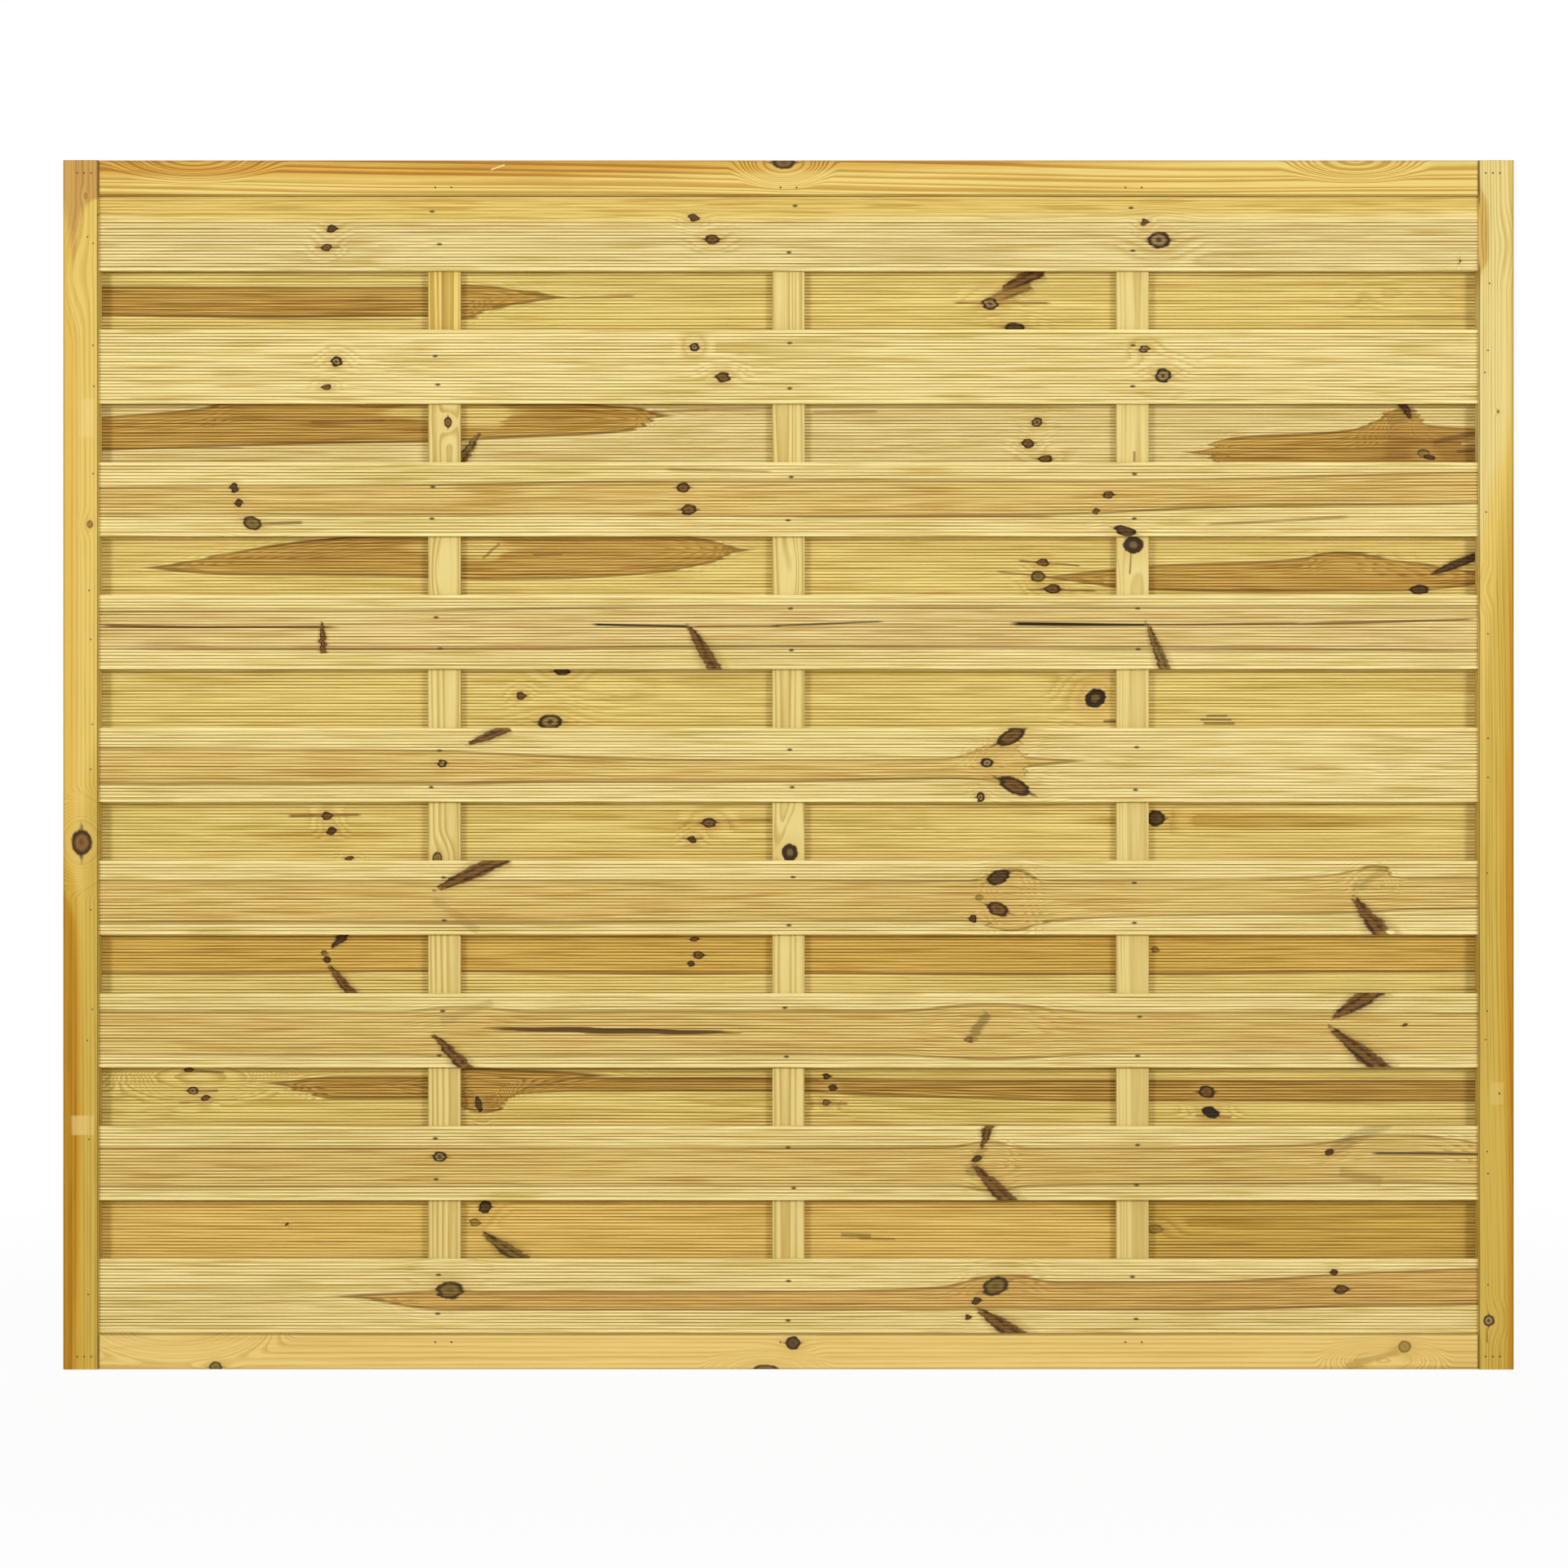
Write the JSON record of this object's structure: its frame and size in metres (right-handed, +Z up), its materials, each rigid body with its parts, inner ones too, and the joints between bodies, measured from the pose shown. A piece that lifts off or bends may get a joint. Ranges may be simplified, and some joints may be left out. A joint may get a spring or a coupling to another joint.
{
  "type": "privacy fence panel",
  "caption": "Timber privacy fence panel: reeded horizontal slats lie alternately in front of and behind upright battens, housed in a grooved and tenoned frame.",
  "frame": {"origin": "middle of the panel's foot, on the surface that it stands on", "axes": "+X along the panel to the right as seen from the front, +Y from the front to the back, +Z up"},
  "size_m": [1.8, 0.044, 1.5],
  "materials": {
    "frame_timber": "planed, pressure treated",
    "batten_timber": "planed, pressure treated",
    "slat_timber": "reeded, pressure treated",
    "nail_steel": "dull zinc"
  },
  "bodies": {
    "root": {"left_stile": "frame_timber", "right_stile": "frame_timber", "top_rail": "frame_timber", "bottom_rail": "frame_timber", "left_batten": "batten_timber", "middle_batten": "batten_timber", "right_batten": "batten_timber", "front_slat_1": "slat_timber", "front_slat_2": "slat_timber", "front_slat_3": "slat_timber", "front_slat_4": "slat_timber", "front_slat_5": "slat_timber", "front_slat_6": "slat_timber", "front_slat_7": "slat_timber", "front_slat_8": "slat_timber", "front_slat_9": "slat_timber", "back_slat_1": "slat_timber", "back_slat_2": "slat_timber", "back_slat_3": "slat_timber", "back_slat_4": "slat_timber", "back_slat_5": "slat_timber", "back_slat_6": "slat_timber", "back_slat_7": "slat_timber", "back_slat_8": "slat_timber", "corner_nails": "nail_steel", "batten_nails": "nail_steel"}
  },
  "joints": []
}
